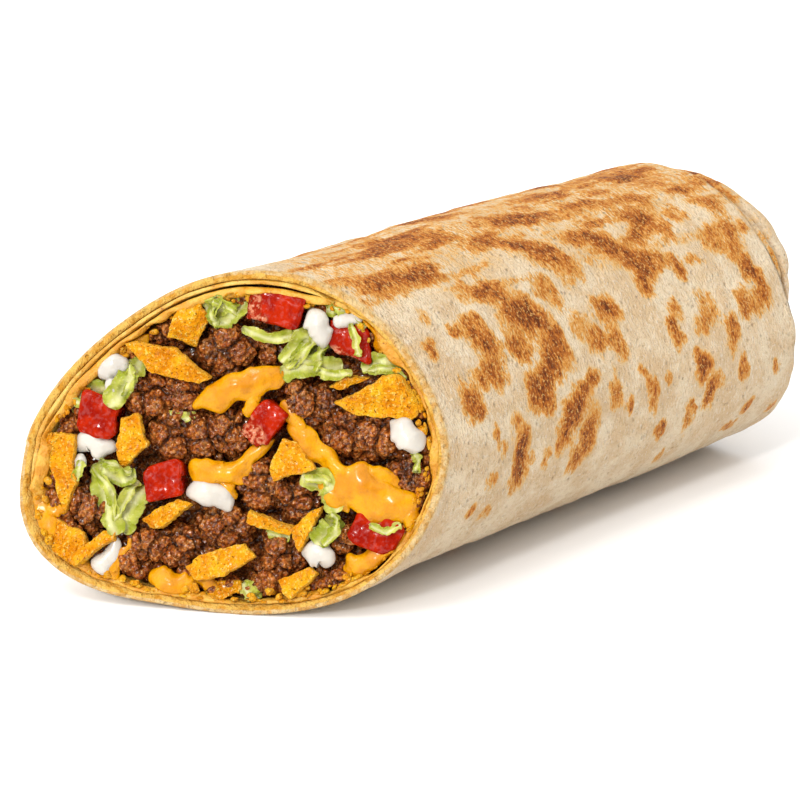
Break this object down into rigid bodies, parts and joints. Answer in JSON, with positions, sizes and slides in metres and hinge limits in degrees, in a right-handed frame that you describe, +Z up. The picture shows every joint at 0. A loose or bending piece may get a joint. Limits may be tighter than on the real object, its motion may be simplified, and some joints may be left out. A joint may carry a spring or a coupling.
{
  "type": "burrito",
  "caption": "Burrito in a toasted flour tortilla, folded shut at one end and cut on a slant at the other to show its layered filling.",
  "frame": {"origin": "middle of the bounding box, on the surface the burrito rests on", "axes": "+X along the roll towards its folded end, -X towards the cut end, +Z up"},
  "size_m": [0.1598, 0.0684, 0.0579],
  "materials": {
    "tortilla": "matte, mottled, browned in patches",
    "ground_beef": "grainy, slightly greasy",
    "tomato": "wet, glossy",
    "chip": "grainy, speckled",
    "sour_cream": "smooth, wet",
    "lettuce": "moist, translucent",
    "cheese_sauce": "smooth, glossy"
  },
  "bodies": {
    "root": {"tortilla": "tortilla", "tomato_1": "tomato", "tomato_2": "tomato", "tomato_3": "tomato", "tomato_4": "tomato", "tomato_5": "tomato", "tomato_6": "tomato", "chip_1": "chip", "chip_2": "chip", "chip_3": "chip", "chip_4": "chip", "chip_5": "chip", "chip_6": "chip", "chip_7": "chip", "chip_8": "chip", "chip_9": "chip", "chip_10": "chip", "chip_11": "chip", "chip_12": "chip", "chip_13": "chip", "chip_14": "chip", "chip_15": "chip", "chip_16": "chip", "sour_cream_1": "sour_cream", "sour_cream_2": "sour_cream", "sour_cream_3": "sour_cream", "sour_cream_4": "sour_cream", "sour_cream_5": "sour_cream", "sour_cream_6": "sour_cream", "sour_cream_7": "sour_cream", "sour_cream_8": "sour_cream", "lettuce_1": "lettuce", "lettuce_2": "lettuce", "lettuce_3": "lettuce", "lettuce_4": "lettuce", "lettuce_5": "lettuce", "lettuce_6": "lettuce", "lettuce_7": "lettuce", "lettuce_8": "lettuce", "lettuce_9": "lettuce", "lettuce_10": "lettuce", "lettuce_11": "lettuce", "lettuce_12": "lettuce", "lettuce_13": "lettuce", "lettuce_14": "lettuce", "lettuce_15": "lettuce", "cheese_sauce_1": "cheese_sauce", "cheese_sauce_2": "cheese_sauce", "cheese_sauce_3": "cheese_sauce", "cheese_sauce_4": "cheese_sauce", "cheese_sauce_5": "cheese_sauce", "cheese_sauce_6": "cheese_sauce", "cheese_sauce_7": "cheese_sauce", "cheese_sauce_8": "cheese_sauce", "ground_beef": "ground_beef"}
  },
  "joints": []
}
